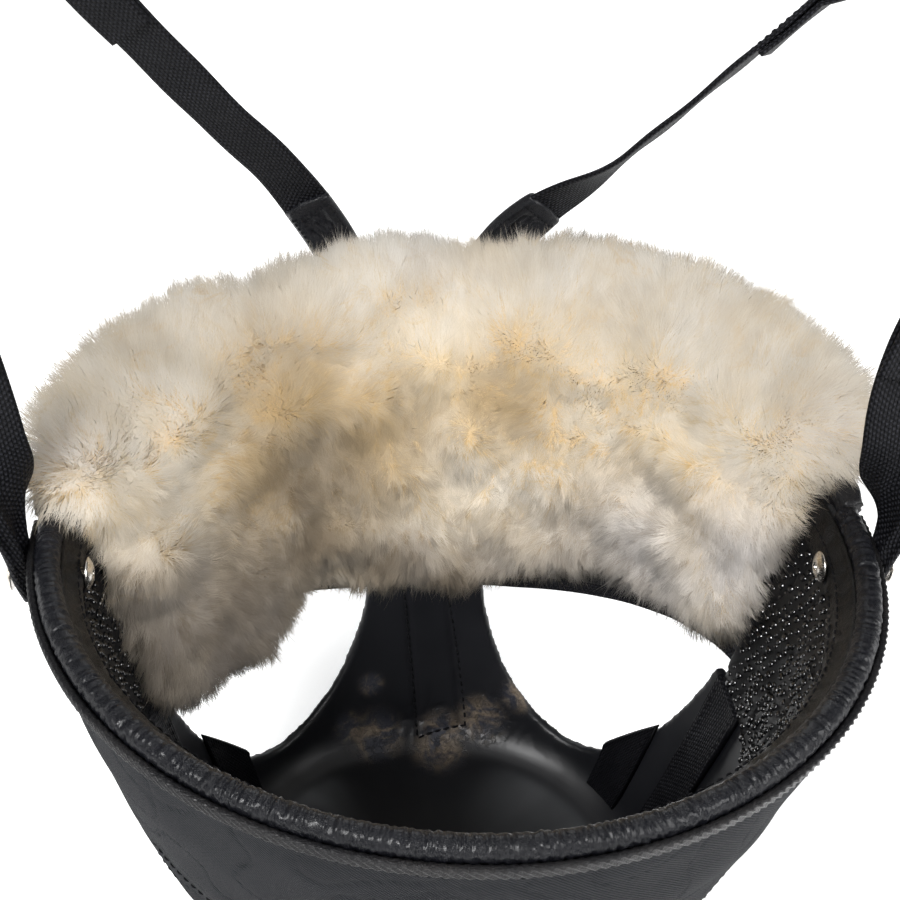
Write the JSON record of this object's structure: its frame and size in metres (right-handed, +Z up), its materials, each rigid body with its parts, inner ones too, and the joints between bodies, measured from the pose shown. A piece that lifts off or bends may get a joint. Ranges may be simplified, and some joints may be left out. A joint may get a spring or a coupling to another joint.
{
  "type": "grazing muzzle",
  "caption": "Rubber-based horse grazing muzzle with nostril openings, sheepskin-lined noseband, padded piped rim and webbing straps with snap hooks.",
  "frame": {"origin": "on the floor plane under the middle of the part's box, at the bottom of the flat rubber base", "axes": "+X the horse's right as seen from the chin side, +Y to the nose side, +Z up from the base to the rim and straps"},
  "size_m": [0.2862, 0.2368, 0.3049],
  "materials": {
    "rubber": "smooth semi-gloss, scuffed inside",
    "leather": "grained, soft gloss",
    "twill": "matte twill weave",
    "webbing": "matte woven webbing",
    "lining": "pimpled, glossy bumps",
    "foam": "closed-cell foam",
    "hide": "suede",
    "fleece": "dense silky wool pile",
    "steel": "polished nickel plate"
  },
  "bodies": {
    "root": {"rubber_base": "rubber", "side_band_right": "webbing", "front_band_right": "webbing", "rear_band_right": "webbing", "side_band_left": "webbing", "front_band_left": "webbing", "rear_band_left": "webbing", "chin_band": "webbing", "bridge_strap": "webbing", "noseband_shell": "leather", "noseband_webbing": "webbing", "noseband_top_binding": "leather", "noseband_foam": "foam", "fleece_fastener_right": "webbing", "fleece_fastener_left": "webbing", "fleece_hide": "hide", "fleece_pile": "fleece", "panel_shell": "twill", "panel_foam": "foam", "panel_lining": "lining", "rim_facing": "leather", "rim_binding": "leather", "rim_piping": "leather", "cheek_strap_right": "webbing", "rivet_cap_right": "steel", "rivet_post_right": "steel", "rivet_back_right": "steel", "top_strap_right": "webbing", "cheek_strap_left": "webbing", "rivet_cap_left": "steel", "rivet_post_left": "steel", "rivet_back_left": "steel", "top_strap_left": "webbing"},
    "eye_right": {"hook_eye_right": "steel"},
    "hook_right": {"hook_body_right": "steel", "hook_spring_right": "steel"},
    "trigger_right": {"hook_trigger_right": "steel"},
    "eye_left": {"hook_eye_left": "steel"},
    "hook_left": {"hook_body_left": "steel", "hook_spring_left": "steel"},
    "trigger_left": {"hook_trigger_left": "steel"}
  },
  "joints": [
    {"name": "eye_swing_right", "type": "hinge", "parent": "root", "child": "eye_right", "pos_m": [0.12528, -0.01128, 0.24106], "axis": [-0.9817, 0.0106, 0.1903], "range_deg": [-60, 60]},
    {"name": "hook_swivel_right", "type": "hinge", "parent": "eye_right", "child": "hook_right", "pos_m": [0.12528, -0.01128, 0.24106], "axis": [0.1906, 0.0545, 0.9801], "continuous": true},
    {"name": "trigger_pull_right", "type": "slide", "parent": "hook_right", "child": "trigger_right", "axis": [-0.1906, -0.0545, -0.9801], "range_m": [0, 0.007], "stiffness_N_per_m": 600, "springref_m": -0.004},
    {"name": "eye_swing_left", "type": "hinge", "parent": "root", "child": "eye_left", "pos_m": [-0.12549, -0.01128, 0.24108], "axis": [0.9864, 0.0091, 0.1639], "range_deg": [-60, 60]},
    {"name": "hook_swivel_left", "type": "hinge", "parent": "eye_left", "child": "hook_left", "pos_m": [-0.12549, -0.01128, 0.24108], "axis": [-0.1642, 0.0547, 0.9849], "continuous": true},
    {"name": "trigger_pull_left", "type": "slide", "parent": "hook_left", "child": "trigger_left", "axis": [0.1642, -0.0547, -0.9849], "range_m": [0, 0.007], "stiffness_N_per_m": 600, "springref_m": -0.004}
  ]
}
